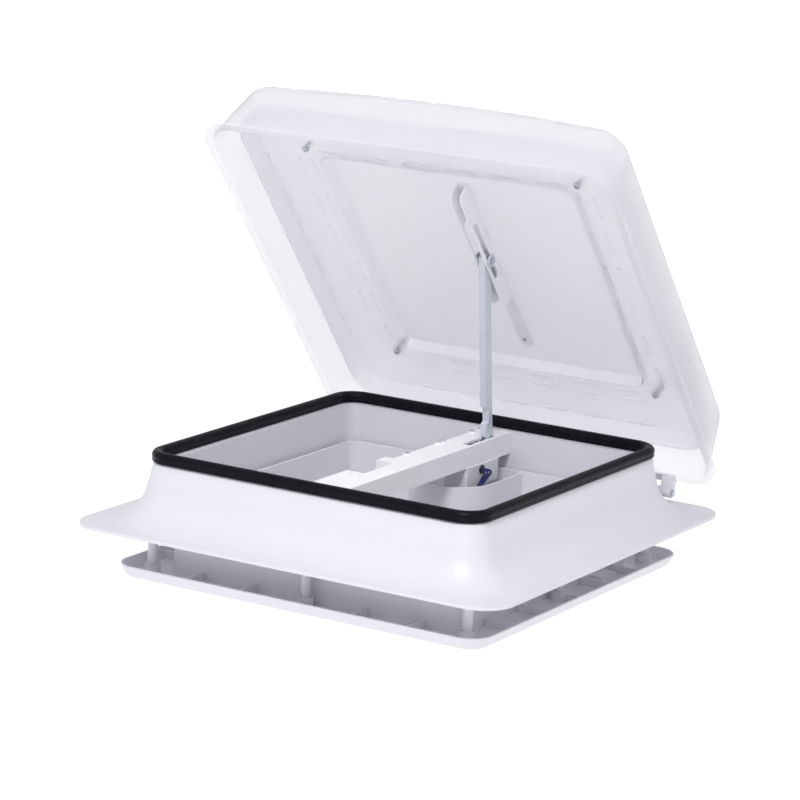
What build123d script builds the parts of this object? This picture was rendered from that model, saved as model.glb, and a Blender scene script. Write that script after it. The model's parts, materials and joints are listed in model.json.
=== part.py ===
"""Caravan roof vent with a hinged double-skin lid, a motor-driven lift arm and an interior trim.

Millimetres, +Z up. The origin is the middle of the roof opening on the underside of the roof flange.
X runs along the lid's hinge, +Y points to the hinge and the lid opens from the -Y side.
The model stands with its lid open. Lid pieces are drawn as they lie when it is closed and are turned when
they are saved. Pieces of the lift arm are drawn upright from its pivot and leaned when they are saved.
"""
import math
import os

from build123d import *

os.makedirs("parts", exist_ok=True)

# Turns, the overrun of cuts and the clearances that fits share
quarter_turn = 90
half_turn = 180
overrun = 1.0
running_gap = 0.05
seat_gap = 0.3

# Base frame, half widths measured from the middle, each stepped from the roof opening's
opening_half = 166.0
opening_corner = 14.0
curb_top_step = 12.5
curb_top_half = opening_half + curb_top_step
curb_draft = 14.0
curb_foot_half = curb_top_half + curb_draft
flange_width = 37.5
flange_half = curb_foot_half + flange_width
flange_thick = 3.0
flange_corner = 33.0
curb_top = 60.0
curb_corner = 22.0
curb_flare = 42.0
hollow_flare = 16.0
curb_round = 2.5
frame_wall = 3.0
spigot_depth = 10.0
lip_inset = 3.3
lip_half = curb_top_half - lip_inset
lip_thick = 2.4
lip_height = 6.5

# Screw posts under the base frame
post_step = 5.0
post_half = opening_half + post_step
post_radius = 5.0
post_top = 20.0
post_bottom = -41.0
pilot_radius = 1.6
pilot_depth = 22.0

# Bulb seal on the curb's lip
seal_inset = 3.9
seal_width = 10.2
seal_inner_half = lip_half - seal_inset
seal_rise = 11.2
seal_top = curb_top + seal_rise
seal_skirt_height = 4.2
seal_groove = 0.5

# Lid hinge
hinge_inset = 7.3
hinge_y = flange_half - hinge_inset
hinge_z = 12.3
rod_radius = 2.0
rod_head_radius = 3.4
rod_head_thick = 1.6
knuckle_radius = 5.2
lug_width = 20.0
leaf_knuckle_width = 12.0
knuckle_gap = 0.5
lug_spacing = 150.0
lug_count = 3

# Lid, half widths and closed heights
open_angle = 50.38
lid_most_open = 58.4
rim_inset = 1.7
rim_half = hinge_y - rim_inset
rim_height = 26.0
rim_thick = 2.6
rim_corner = 34.0
rim_lip = 5.5
skirt_half = rim_half - rim_lip
skirt_corner = 30.0
dome_draft = 13.5
dome_half = skirt_half - dome_draft
dome_near_draft = 5.5
dome_near_half = skirt_half - dome_near_draft
dome_corner = 26.0
dome_top = 95.0
dome_crown = 7.0
dome_round = 11.0
dome_wall = 2.2
dome_post_radius = 4.5

# Inner panel of the lid
panel_rise = 0.4
panel_height = seal_top + panel_rise
panel_thick = 2.0
panel_inset = 13.5
panel_half = skirt_half - panel_inset
panel_corner = 28.0
panel_edge_depth = 20.0
panel_border = 60.0
dish_half = panel_half - panel_border
dish_corner = 18.0
dish_rise = 10.0
dish_draft = 4.0
rib_length = 30.0
rib_width = 3.0
rib_height = 1.2
rib_pitch = 48.0
rib_row_steps = (4.5, 19.0, 55.0)
rib_count = 6
leaf_width = 10.0
leaf_thick = 2.2
leaf_inset = 0.2
rivet_radius = 1.6
rivet_head_thick = 1.2
rivet_head_taper = 25
lid_screw_step = 6.5
lid_screw_half = dish_half + lid_screw_step

# Crossbeam over the opening
beam_left = -12.0
beam_near_left = -1.0
beam_right = 20.0
beam_top = 59.0
beam_height = 21.0
beam_wall = 2.2
beam_end_gap = 0.4
foot_left = -20.5
near_foot_length = 90.0
near_foot_hole = -84.0
far_foot_length = 52.0
beam_lug_start = -23.0
beam_lug_length = 17.0
ledge_depth = 15.0
ledge_thick = 8.0
ledge_right = -1.0
foot_top = 52.0
boss_radius = 3.5
boss_x = -9.5
boss_top = 60.5
boss_places = (15.0, 75.0, 83.0, 139.0)
beam_lug_thick = 9.0

# Lift arm, its pivot and its worm drive
arm_x = 12.0
arm_width = 7.0
arm_depth = 11.5
arm_sheet = 1.2
arm_offset = 15.0
arm_reach = 188.5
arm_lean = 7.0
arm_ratio = 1.63
path_steps = 24
tip_round_share = 0.4
ear_round_share = 0.8
arm_slot_gap = 0.8
pivot_y = 117.0
pivot_z = 50.0
pin_radius = 2.0
ear_radius = 5.5
ear_top = 8.0
neck_depth = 4.5
neck_start = 22.0
neck_end = 40.0
slot_start = 90.0
slot_end = 142.0
tooth_module = 1.25
wheel_teeth = 26
sector_first_tooth = -7
sector_last_tooth = 1
tooth_backlash = 0.6
dedendum_share = 1.25
pressure_angle = 20.0
worm_radius = 5.0
worm_turns = 5
worm_phase = 90.0
shaft_radius = 1.5

# Rollers on the arm's tip and the rail that they run in
axle_radius = 2.5
axle_head_extra = 1.0
axle_head_thick = 0.8
disc_radius = 6.7
disc_thick = 1.4
rail_sheet = 1.8
rail_inside = 9.2
rail_start = 112.0
rail_end = 267.0
rail_foot = 36.0
rail_drop = 20.0
rail_round_share = 0.4
rail_screw_tail = 3.0

# Gearbox and motor under the beam
gearbox_left = -2.0
gearbox_right = 21.0
gearbox_near = 80.0
gearbox_far = 142.0
gearbox_bottom = 16.0
gearbox_wall = 1.6
gearbox_roof = 3.0
gearbox_ear_thick = 3.0
gearbox_post_length = 7.5
gearbox_corner = 3.0
motor_radius = 6.0
motor_nose = 3.0
motor_length = 20.0
bush_radius = 3.0
bush_length = 4.0
cheek_thick = 1.8

# Interior trim
trim_border = 34.0
trim_half = opening_half + trim_border
trim_corner = 25.0
trim_bottom = -50.0
trim_lip = -37.0
trim_wall = 2.6
trim_draft = 7.0
trim_round = 7.0
collar_gap = 6.0
collar_half = opening_half - collar_gap
collar_corner = 12.0
collar_wall = 2.5
collar_top = 24.0
floor_rib_height = 7.5
floor_rib_width = 2.2
floor_rib_pitch = 60.0
floor_rib_count = 5
socket_wall = 1.8
socket_gap = 0.8
socket_top = -38.5
socket_floor = -44.0
screw_sink = 2.4
trim_screw_length = 22.0
tub_x = -4.0
tub_y = 100.0
tub_radius = 44.0
tub_wall = 2.4
tub_floor = -36.0
tub_rim = 22.5

# Screws
screw_radius = 1.5
screw_head_radius = 3.2
screw_head_thick = 1.8
small_screw_radius = 1.0
small_head_radius = 2.2
small_head_thick = 1.2

# Fly screen
screen_gap = 0.8
screen_frame_width = 9.0
screen_frame_thick = 5.0
screen_thick = 0.6
screen_step = 3.0
clip_pocket_step = 4.0
clip_pocket_x = collar_half + clip_pocket_step
clip_pocket_y = 96.0
clip_pocket_width = 14.0
clip_pocket_length = 24.0
clip_pocket_depth = 3.8
clip_pivot_step = 5.5
clip_pivot_x = collar_half + clip_pivot_step
clip_pivot_y = 90.0
screen_clip_length = 16.0
screen_clip_height = 6.0
screen_clip_thick = 2.0

# Rocker switch in the tub's floor
switch_x = -4.0
switch_y = 88.0
switch_length = 30.0
switch_width = 16.0
switch_wall = 1.5
switch_height = 18.0
bezel_border = 2.5
bezel_thick = 1.8
rocker_swell = 3.0
rocker_gap = 0.5
switch_depth = 12.0
switch_tab_pitch = 7.0
switch_tab_thick = 0.8
switch_tab_width = 6.3
switch_tab_height = 6.0

# Supply terminals, grommet and leads in the tub
terminal_length = 22.0
terminal_width = 12.0
terminal_height = 12.0
terminal_x = 22.0
terminal_y = 132.0
grommet_y = 108.0
grommet_z = 32.5
grommet_radius = 4.5
grommet_bore = 3.5
grommet_lip = 1.7
grommet_groove = 0.8
lead_radius = 1.1
lead_space = 0.1
lead_run_x = 27.5
lead_run_shift = 1.0
lead_step = 2.6
lead_loop_z = 18.0
lead_cross_z = -4.0
lead_clip_z = 2.0
lead_clip_height = 6.0
lead_clip_width = 5.0
lead_clip_length = 15.0
lead_bend = 4.5


def save(builder, name, place=Location()):
    """Turn the finished piece to its place, label it and write it to its own file."""
    piece = place * builder.part
    piece.label = name
    export_step(piece, f"parts/{name}.step")


def rounded_square(height, half, corner):
    """Face of a rounded square about the origin, lying at this height."""
    with BuildSketch(Plane.XY.offset(height)) as face:
        RectangleRounded(2 * half, 2 * half, corner)
    return face.sketch


def square_ring(height, outer_half, outer_corner, inner_half, inner_corner):
    """Face between two rounded squares about the origin, lying at this height."""
    with BuildSketch(Plane.XY.offset(height)) as ring:
        RectangleRounded(2 * outer_half, 2 * outer_half, outer_corner)
        RectangleRounded(2 * inner_half, 2 * inner_half, inner_corner, mode=Mode.SUBTRACT)
    return ring.sketch


def ring_places(half):
    """Four corners and four side middles of a square, as points."""
    return [(x * half, y * half) for x in (-1, 0, 1) for y in (-1, 0, 1) if (x, y) != (0, 0)]


def screw_shape(radius, length, head_radius, head_thick):
    """Pan-head screw with a cross recess, its head below the origin and its shank along +Z."""
    recess_width = head_radius / 3
    with BuildPart() as screw:
        with BuildSketch(Plane.XY.offset(-head_thick)):
            Circle(head_radius)
        extrude(amount=head_thick)
        chamfer(screw.edges().group_by(Axis.Z)[0], length=head_thick / 3)
        with BuildSketch(Plane.XY):
            Circle(radius)
        extrude(amount=length)
        with BuildSketch(Plane.XY.offset(-head_thick)):
            Rectangle(head_radius, recess_width)
            Rectangle(recess_width, head_radius)
        extrude(amount=head_thick / 2, mode=Mode.SUBTRACT)
    return screw.part


# The lid's turn about its hinge and the arm's place on its pivot
lid_turn = Pos(0, hinge_y, hinge_z) * Rot(X=-open_angle) * Pos(0, -hinge_y, -hinge_z)
arm_place = Pos(arm_x, pivot_y, pivot_z) * Rot(X=arm_lean)

# Base frame
beam_bottom = beam_top - beam_height
beam_half = opening_half - beam_end_gap
foot_screw_x = (foot_left + beam_near_left) / 2
foot_screw_half = opening_half - ledge_depth / 2
lug_places = [(n - (lug_count - 1) / 2) * lug_spacing for n in range(lug_count)]



def flared_curb(bottom, inset, flare):
    """Curb on a plate of the flange's size, flared at its foot, with all its faces moved in by the inset."""
    foot_half = curb_foot_half - inset
    top_half = curb_top_half - inset
    foot_height = bottom + flange_thick
    with BuildPart() as shape:
        with BuildSketch(Plane.XY.offset(bottom)):
            RectangleRounded(2 * flange_half, 2 * flange_half, flange_corner)
        extrude(amount=flange_thick)
        with BuildSketch(Plane.XY.offset(foot_height)):
            RectangleRounded(2 * foot_half, 2 * foot_half, curb_corner + curb_draft - inset)
        with BuildSketch(Plane.XY.offset(curb_top - inset)):
            RectangleRounded(2 * top_half, 2 * top_half, curb_corner - inset)
        loft(ruled=True)
        foot_edges = shape.edges().filter_by_position(Axis.Z, foot_height - running_gap, foot_height + running_gap)
        foot_edges = foot_edges.filter_by(
            lambda edge: max(abs(edge.center().X), abs(edge.center().Y)) < foot_half + overrun
        )
        fillet(foot_edges, radius=flare)
    return shape.part


with BuildPart() as base_frame:
    add(flared_curb(0, 0, curb_flare))
    fillet(base_frame.edges().group_by(Axis.Z)[-1], radius=curb_round)
    # Hollow from below, between the curb and the inner wall
    add(flared_curb(-flange_thick, frame_wall, hollow_flare), mode=Mode.SUBTRACT)
    # Inner wall, down into the roof opening
    with BuildSketch(Plane.XY.offset(-spigot_depth)):
        RectangleRounded(
            2 * (opening_half + frame_wall), 2 * (opening_half + frame_wall), opening_corner + frame_wall
        )
    extrude(amount=spigot_depth + curb_top - frame_wall / 2)
    # Lip for the seal
    extrude(
        square_ring(
            curb_top - curb_round,
            lip_half + lip_thick / 2,
            curb_corner,
            lip_half - lip_thick / 2,
            curb_corner - lip_thick,
        ),
        amount=lip_height + curb_round,
    )
    # Screw posts
    with BuildSketch(Plane.XY.offset(post_bottom)):
        with Locations(*ring_places(post_half)):
            Circle(post_radius)
    extrude(amount=post_top - post_bottom)
    # The opening
    with BuildSketch(Plane.XY.offset(post_bottom - overrun)):
        RectangleRounded(2 * opening_half, 2 * opening_half, opening_corner)
    extrude(amount=curb_top - post_bottom + 2 * overrun, mode=Mode.SUBTRACT)
    # Pilot holes for the trim's screws
    with BuildSketch(Plane.XY.offset(post_bottom - overrun)):
        with Locations(*ring_places(post_half)):
            Circle(pilot_radius)
    extrude(amount=pilot_depth + overrun, mode=Mode.SUBTRACT)
    # Ledges that carry the crossbeam's feet, each with a sloping underside
    for side in (-1, 1):
        wall_y = side * (opening_half + frame_wall / 2)
        nose_y = side * (opening_half - ledge_depth)
        with BuildSketch(Plane.YZ.offset(foot_left)):
            with BuildLine():
                Polyline(
                    (wall_y, beam_bottom),
                    (nose_y, beam_bottom),
                    (nose_y, beam_bottom - ledge_thick / 2),
                    (wall_y, beam_bottom - ledge_thick),
                    close=True,
                )
            make_face()
        extrude(amount=ledge_right - foot_left)
        with BuildSketch(Plane.XY.offset(beam_bottom)):
            with Locations((foot_screw_x, side * foot_screw_half)):
                Circle(small_screw_radius)
        extrude(amount=-ledge_thick / 2, mode=Mode.SUBTRACT)
    # Hinge lugs on the flange
    for lug_x in lug_places:
        with BuildSketch(Plane.YZ.offset(lug_x - lug_width / 2)):
            with Locations((hinge_y, hinge_z)):
                Circle(knuckle_radius)
            with Locations((hinge_y, (hinge_z + flange_thick / 2) / 2)):
                Rectangle(2 * knuckle_radius, hinge_z - flange_thick / 2)
            with Locations((hinge_y, hinge_z)):
                Circle(rod_radius + running_gap, mode=Mode.SUBTRACT)
        extrude(amount=lug_width)
save(base_frame, "base_frame")

# Bulb seal, one section carried round the lip
seal_middle = seal_inner_half + seal_width / 2
seal_path = rounded_square(0, lip_half, curb_corner - lip_thick / 2).wires()[0]
seal_start = Plane(
    origin=seal_path @ 0,
    x_dir=(seal_path % 0).cross(Vector(0, 0, 1)),
    z_dir=-(seal_path % 0),
)
with BuildPart() as curb_seal:
    with BuildSketch(seal_start):
        with Locations((seal_middle - lip_half, seal_top - seal_width / 2)):
            Circle(seal_width / 2)
        with Locations((seal_middle - lip_half, curb_top + seal_groove / 2 + seal_skirt_height / 2)):
            RectangleRounded(seal_width - seal_groove, seal_skirt_height, seal_skirt_height / 3)
        with Locations((0, curb_top + lip_height / 2)):
            Rectangle(lip_thick + 2 * running_gap, lip_height + seal_groove, mode=Mode.SUBTRACT)
    sweep(path=seal_path)
save(curb_seal, "curb_seal")

# Hinge rod with a head at each end
rod_half = lug_places[-1] + lug_width / 2 + leaf_knuckle_width + 2 * knuckle_gap
with BuildPart() as hinge_rod:
    with BuildSketch(Plane.YZ.offset(-rod_half)):
        with Locations((hinge_y, hinge_z)):
            Circle(rod_radius)
    extrude(amount=2 * rod_half)
    for start in (-rod_half - rod_head_thick, rod_half):
        with BuildSketch(Plane.YZ.offset(start)):
            with Locations((hinge_y, hinge_z)):
                Circle(rod_head_radius)
        extrude(amount=rod_head_thick)
save(hinge_rod, "hinge_rod")

def roller_point(opening):
    """Roller's y and z in the closed lid's frame, for an opening of the lid in degrees."""
    lean = math.radians(arm_lean + (open_angle - opening) * arm_ratio)
    from_hinge_y = pivot_y + arm_offset * math.cos(lean) - arm_reach * math.sin(lean) - hinge_y
    from_hinge_z = pivot_z + arm_offset * math.sin(lean) + arm_reach * math.cos(lean) - hinge_z
    turn = math.radians(opening)
    return (
        hinge_y + from_hinge_y * math.cos(turn) - from_hinge_z * math.sin(turn),
        hinge_z + from_hinge_y * math.sin(turn) + from_hinge_z * math.cos(turn),
    )


# Where the roller runs in the lid's frame over the lid's whole travel
path_points = [roller_point(lid_most_open * step / path_steps) for step in range(path_steps + 1)]
path_near = min(point[0] for point in path_points)
path_far = max(point[0] for point in path_points)
path_low = min(point[1] for point in path_points)
path_high = max(point[1] for point in path_points)
print("roller path in the lid, y and z:", path_near, path_far, path_low, path_high)

# Layout of the guide rail
rail_top = panel_height + dish_rise
rail_bottom = rail_top - rail_drop
rail_near_y = lid_screw_half - rail_end
rail_far_y = lid_screw_half - rail_start
rail_foot_y = lid_screw_half - rail_foot
rail_half = rail_inside / 2 + rail_sheet
rail_slot_radius = (path_high - path_low) / 2 + axle_radius + seat_gap
rail_slot_z = (path_high + path_low) / 2
rail_screw_places = [
    (arm_x, rail_foot_y - rail_inside),
    (arm_x, (rail_far_y + path_far) / 2),
    (arm_x, rail_near_y + rail_inside),
]

# Layout of the hinge's strip, its knuckles and rivets
leaf_half = rod_half - knuckle_gap
leaf_outer_y = rim_half - leaf_inset
leaf_inner_y = leaf_outer_y - leaf_width
leaf_bottom = rim_height - leaf_thick
knuckle_offset = lug_width / 2 + knuckle_gap + leaf_knuckle_width / 2
leaf_knuckles = [x + side * knuckle_offset for x in lug_places for side in (-1, 1)]
rivet_places = [(x, (skirt_half + rim_half) / 2) for x in leaf_knuckles]

# Lid dome, drawn closed: steeper at its free edge and crowned from side to side
dome_bosses = [(x * lid_screw_half, y * lid_screw_half) for x in (-1, 1) for y in (-1, 1)]
inner_top = dome_top - dome_wall
panel_back = panel_height + panel_thick


def dome_shape(inset):
    """Solid under the dome's outer face, or under a face at this depth inside it."""
    low_half = skirt_half - inset
    side_half = dome_half - inset
    near_half = dome_near_half - inset
    edge_height = dome_top - inset
    with BuildPart() as shape:
        with BuildSketch(Plane.XY.offset(rim_height)):
            RectangleRounded(2 * low_half, 2 * low_half, skirt_corner - inset)
        with BuildSketch(Plane.XY.offset(dome_top + dome_crown)):
            with Locations((0, (side_half - near_half) / 2)):
                RectangleRounded(2 * side_half, side_half + near_half, dome_corner - inset)
        loft(ruled=True)
        with BuildSketch(Plane.XZ.offset(-rim_half)):
            with BuildLine():
                ThreePointArc(
                    (-rim_half, edge_height - dome_crown / 2),
                    (0, edge_height + dome_crown),
                    (rim_half, edge_height - dome_crown / 2),
                )
                Polyline(
                    (rim_half, edge_height - dome_crown / 2),
                    (rim_half, rim_height),
                    (-rim_half, rim_height),
                    (-rim_half, edge_height - dome_crown / 2),
                )
            make_face()
        extrude(amount=2 * rim_half, mode=Mode.INTERSECT)
        top_face = shape.faces().sort_by(Axis.Z)[-1]
        fillet(top_face.edges(), radius=dome_round - inset)
    return shape.part


with BuildPart() as lid_dome:
    add(dome_shape(0))
    with BuildSketch(Plane.XY.offset(rim_height)):
        RectangleRounded(2 * rim_half, 2 * rim_half, rim_corner)
    extrude(amount=rim_thick)
    add(dome_shape(dome_wall), mode=Mode.SUBTRACT)
    with BuildSketch(Plane.XY.offset(panel_back)):
        with Locations(*dome_bosses):
            Circle(dome_post_radius)
    extrude(amount=inner_top - panel_back + dome_crown / 2)
    with BuildSketch(Plane.XY.offset(panel_back)):
        with Locations(*dome_bosses):
            Circle(screw_radius)
    extrude(amount=inner_top - panel_back, mode=Mode.SUBTRACT)
    with BuildSketch(Plane.XY.offset(rim_height)):
        with Locations(*rivet_places):
            Circle(rivet_radius)
    extrude(amount=rim_thick, mode=Mode.SUBTRACT)
save(lid_dome, "lid_dome", lid_turn)

# Inner panel: flat border, dished middle, turned-down edge and rows of short ribs
rib_places = [(n - (rib_count - 1) / 2) * rib_pitch for n in range(rib_count)]
edge_height = panel_height - panel_edge_depth
dish_top_half = dish_half - dish_draft
with BuildPart() as lid_panel:
    with BuildSketch(Plane.XY.offset(edge_height)):
        RectangleRounded(2 * panel_half, 2 * panel_half, panel_corner)
    extrude(amount=panel_edge_depth + panel_thick)
    with BuildSketch(Plane.XY.offset(panel_height)):
        RectangleRounded(2 * dish_half, 2 * dish_half, dish_corner)
    with BuildSketch(Plane.XY.offset(panel_back + dish_rise)):
        RectangleRounded(2 * dish_top_half, 2 * dish_top_half, dish_corner - dish_draft)
    loft()
    with BuildSketch(Plane.XY.offset(edge_height)):
        RectangleRounded(
            2 * (panel_half - panel_thick), 2 * (panel_half - panel_thick), panel_corner - panel_thick
        )
    extrude(amount=panel_edge_depth, mode=Mode.SUBTRACT)
    with BuildSketch(Plane.XY.offset(panel_height)):
        RectangleRounded(
            2 * (dish_half - panel_thick), 2 * (dish_half - panel_thick), dish_corner - panel_thick
        )
    with BuildSketch(Plane.XY.offset(panel_height + dish_rise)):
        RectangleRounded(
            2 * (dish_top_half - panel_thick),
            2 * (dish_top_half - panel_thick),
            dish_corner - dish_draft - panel_thick,
        )
    loft(mode=Mode.SUBTRACT)
    # Rows of short ribs beside the dish and along the border's outer edge
    with BuildSketch(Plane.XY.offset(panel_height)):
        for step in rib_row_steps:
            for quarter in range(4):
                with Locations(Rot(Z=quarter * quarter_turn)):
                    with Locations(*[(dish_half + step, place) for place in rib_places]):
                        Rectangle(rib_width, rib_length)
    extrude(amount=-rib_height)
    with BuildSketch(Plane.XY.offset(panel_height - rib_height)):
        with Locations(*dome_bosses):
            Circle(screw_radius + running_gap)
    extrude(amount=rib_height + panel_thick, mode=Mode.SUBTRACT)
    with BuildSketch(Plane.XY.offset(rail_top)):
        with Locations(*rail_screw_places):
            Circle(screw_radius)
    extrude(amount=panel_thick, mode=Mode.SUBTRACT)
save(lid_panel, "lid_panel", lid_turn)

# Screws that hold the inner panel to the dome
panel_screw = screw_shape(
    screw_radius, inner_top - panel_height - dome_wall, screw_head_radius, screw_head_thick
)
with BuildPart() as lid_screws:
    for place in dome_bosses:
        add(Pos(place[0], place[1], panel_height) * panel_screw)
save(lid_screws, "lid_screws", lid_turn)

# The lid's half of the hinge: strip under the rim with knuckles on the rod
with BuildPart() as hinge_leaf:
    with BuildSketch(Plane.XY.offset(leaf_bottom)):
        with Locations((0, (leaf_inner_y + leaf_outer_y) / 2)):
            Rectangle(2 * leaf_half, leaf_width)
    extrude(amount=leaf_thick)
    for knuckle_x in leaf_knuckles:
        with BuildSketch(Plane.YZ.offset(knuckle_x - leaf_knuckle_width / 2)):
            with Locations((hinge_y, hinge_z)):
                Circle(knuckle_radius)
            with BuildLine():
                Polyline(
                    (hinge_y - knuckle_radius, hinge_z),
                    (leaf_inner_y, leaf_bottom),
                    (leaf_outer_y, leaf_bottom),
                    (hinge_y + knuckle_radius / 2, hinge_z + knuckle_radius * math.sin(math.pi / 3)),
                    (hinge_y, hinge_z),
                    close=True,
                )
            make_face()
            with Locations((hinge_y, hinge_z)):
                Circle(rod_radius + running_gap, mode=Mode.SUBTRACT)
        extrude(amount=leaf_knuckle_width)
    with BuildSketch(Plane.XY.offset(leaf_bottom)):
        with Locations(*rivet_places):
            Circle(rivet_radius)
    extrude(amount=leaf_thick, mode=Mode.SUBTRACT)
save(hinge_leaf, "hinge_leaf", lid_turn)

# Rivets through the strip and the rim
with BuildPart() as leaf_rivets:
    with BuildSketch(Plane.XY.offset(leaf_bottom)):
        with Locations(*rivet_places):
            Circle(rivet_radius)
    extrude(amount=leaf_thick + rim_thick)
    with BuildSketch(Plane.XY.offset(rim_height + rim_thick)):
        with Locations(*rivet_places):
            Circle(small_head_radius)
    extrude(amount=rivet_head_thick, taper=rivet_head_taper)
save(leaf_rivets, "leaf_rivets", lid_turn)


# Guide rail on the inner panel: slotted channel with a long foot
with BuildPart() as guide_rail:
    with BuildSketch(Plane.YZ.offset(arm_x - rail_half)):
        with Locations(((rail_near_y + rail_far_y) / 2, (rail_bottom + rail_top) / 2)):
            Rectangle(rail_far_y - rail_near_y, rail_drop)
    extrude(amount=2 * rail_half)
    fillet(
        guide_rail.edges().filter_by(Axis.X).group_by(Axis.Z)[0],
        radius=rail_drop * rail_round_share,
    )
    with BuildSketch(Plane.YZ.offset(arm_x - rail_inside / 2)):
        with Locations(((rail_near_y + rail_far_y) / 2, (rail_bottom + rail_top) / 2 - rail_sheet)):
            Rectangle(rail_far_y - rail_near_y + 2 * overrun, rail_drop)
    extrude(amount=rail_inside, mode=Mode.SUBTRACT)
    with BuildSketch(Plane.YZ.offset(arm_x - rail_half - overrun)):
        with Locations(((path_near + path_far) / 2, rail_slot_z)):
            SlotCenterToCenter(path_far - path_near, 2 * rail_slot_radius)
    extrude(amount=2 * rail_half + 2 * overrun, mode=Mode.SUBTRACT)
    with BuildSketch(Plane.XY.offset(rail_top - rail_sheet)):
        with Locations((arm_x, (rail_foot_y + rail_far_y) / 2)):
            Rectangle(2 * rail_half, rail_foot_y - rail_far_y + 2 * overrun)
    extrude(amount=rail_sheet)
    fillet(guide_rail.edges().filter_by(Axis.Z).group_by(Axis.Y)[-1], radius=rail_inside / 3)
    with BuildSketch(Plane.XY.offset(rail_top - rail_sheet - overrun)):
        with Locations(*rail_screw_places):
            Circle(screw_radius + running_gap)
    extrude(amount=rail_sheet + 2 * overrun, mode=Mode.SUBTRACT)
save(guide_rail, "guide_rail", lid_turn)

rail_screw = screw_shape(
    screw_radius, rail_sheet + panel_thick + rail_screw_tail, small_head_radius, small_head_thick
)
with BuildPart() as rail_screws:
    for place in rail_screw_places:
        add(Pos(place[0], place[1], rail_top - rail_sheet) * rail_screw)
save(rail_screws, "rail_screws", lid_turn)

# Lift arm: steel channel, open at its back, with a neck above its pivot ears, drawn upright from the pivot
arm_front = arm_offset - arm_depth / 2
arm_back = arm_offset + arm_depth / 2
arm_tip = arm_reach + arm_depth / 2
neck_front = arm_front + neck_depth
with BuildPart() as lift_arm:
    with BuildSketch(Plane.YZ.offset(-arm_width / 2)) as arm_side:
        with BuildLine():
            Polyline(
                (arm_front, arm_tip),
                (arm_front, neck_end),
                (neck_front, neck_end - neck_depth / 2),
                (neck_front, neck_start + neck_depth / 2),
                (arm_front, neck_start),
                (arm_front, ear_top),
                (-ear_radius, ear_radius / 2),
                (-ear_radius, -ear_radius),
                (ear_radius, -ear_radius),
                (arm_back, ear_top + neck_depth),
                (arm_back, arm_tip),
                close=True,
            )
        make_face()
        fillet(arm_side.vertices().group_by(Axis.Y)[-1], radius=arm_depth * tip_round_share)
        fillet(arm_side.vertices().group_by(Axis.Y)[0], radius=ear_radius * ear_round_share)
    extrude(amount=arm_width)
    fillet(lift_arm.edges().filter_by(Axis.Z).group_by(Axis.Y)[0], radius=arm_sheet)
    with BuildSketch(Plane.YZ.offset(-arm_width / 2 + arm_sheet)):
        with BuildLine():
            Polyline(
                (arm_back + overrun, arm_tip - arm_sheet),
                (arm_front + arm_sheet, arm_tip - arm_sheet),
                (arm_front + arm_sheet, neck_end + arm_sheet / 2),
                (neck_front + arm_sheet, neck_end - neck_depth / 2),
                (neck_front + arm_sheet, neck_start + neck_depth / 2),
                (arm_front + arm_sheet, neck_start),
                (arm_front + arm_sheet, ear_top + arm_sheet),
                (-ear_radius - overrun, ear_top + arm_sheet),
                (-ear_radius - overrun, -ear_radius - overrun),
                (arm_back + overrun, -ear_radius - overrun),
                close=True,
            )
        make_face()
    extrude(amount=arm_width - 2 * arm_sheet, mode=Mode.SUBTRACT)
    with BuildSketch(Plane.YZ.offset(-arm_width / 2 - overrun)):
        Circle(pin_radius + running_gap)
        with Locations((arm_offset, arm_reach)):
            Circle(axle_radius + running_gap)
    extrude(amount=arm_width + 2 * overrun, mode=Mode.SUBTRACT)
save(lift_arm, "lift_arm", arm_place)

# Worm wheel sector between the arm's ears, its teeth leaning like the worm's thread
wheel_pitch = tooth_module * wheel_teeth / 2
wheel_tip = wheel_pitch + tooth_module
wheel_root = wheel_pitch - tooth_module * dedendum_share
tooth_step = 360 / wheel_teeth
worm_pitch = math.pi * tooth_module
half_tooth = (worm_pitch - tooth_backlash) / 4
tooth_slope = tooth_module * math.tan(math.radians(pressure_angle))
lead_share = worm_pitch / (2 * math.pi * worm_radius)
sector_thick = arm_width - 2 * arm_sheet - 2 * running_gap
tooth_twist = math.degrees(sector_thick / 2 * lead_share / wheel_pitch)


def tooth_side(x):
    """Side face of one wheel tooth at this x, pointing along +Y from the wheel's middle."""
    with BuildSketch(Plane.YZ.offset(x)) as side:
        with BuildLine():
            Polyline(
                (wheel_root - tooth_module / 2, half_tooth + tooth_slope * 3 / 2),
                (wheel_tip, half_tooth - tooth_slope),
                (wheel_tip, -half_tooth + tooth_slope),
                (wheel_root - tooth_module / 2, -half_tooth - tooth_slope * 3 / 2),
                close=True,
            )
        make_face()
    return side.sketch


sector_angles = [
    -quarter_turn - arm_lean + tooth_step * n for n in range(sector_first_tooth, sector_last_tooth + 1)
]
sector_start = sector_angles[0] - tooth_step / 2
sector_sweep = tooth_step * len(sector_angles)
with BuildPart() as arm_sector:
    with BuildSketch(Plane.YZ.offset(-sector_thick / 2)):
        Circle(ear_radius - overrun)
        with BuildLine():
            rim_arc = CenterArc((0, 0), wheel_root, sector_start, sector_sweep)
            Polyline(rim_arc @ 1, (0, 0), rim_arc @ 0)
        make_face()
    extrude(amount=sector_thick)
    for angle in sector_angles:
        loft(
            [
                Rot(X=angle + side * tooth_twist) * tooth_side(side * sector_thick / 2)
                for side in (-1, 1)
            ]
        )
    with BuildSketch(Plane.YZ.offset(-sector_thick / 2 - overrun)):
        Circle(pin_radius + running_gap)
    extrude(amount=sector_thick + 2 * overrun, mode=Mode.SUBTRACT)
save(arm_sector, "arm_sector", arm_place)

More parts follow.
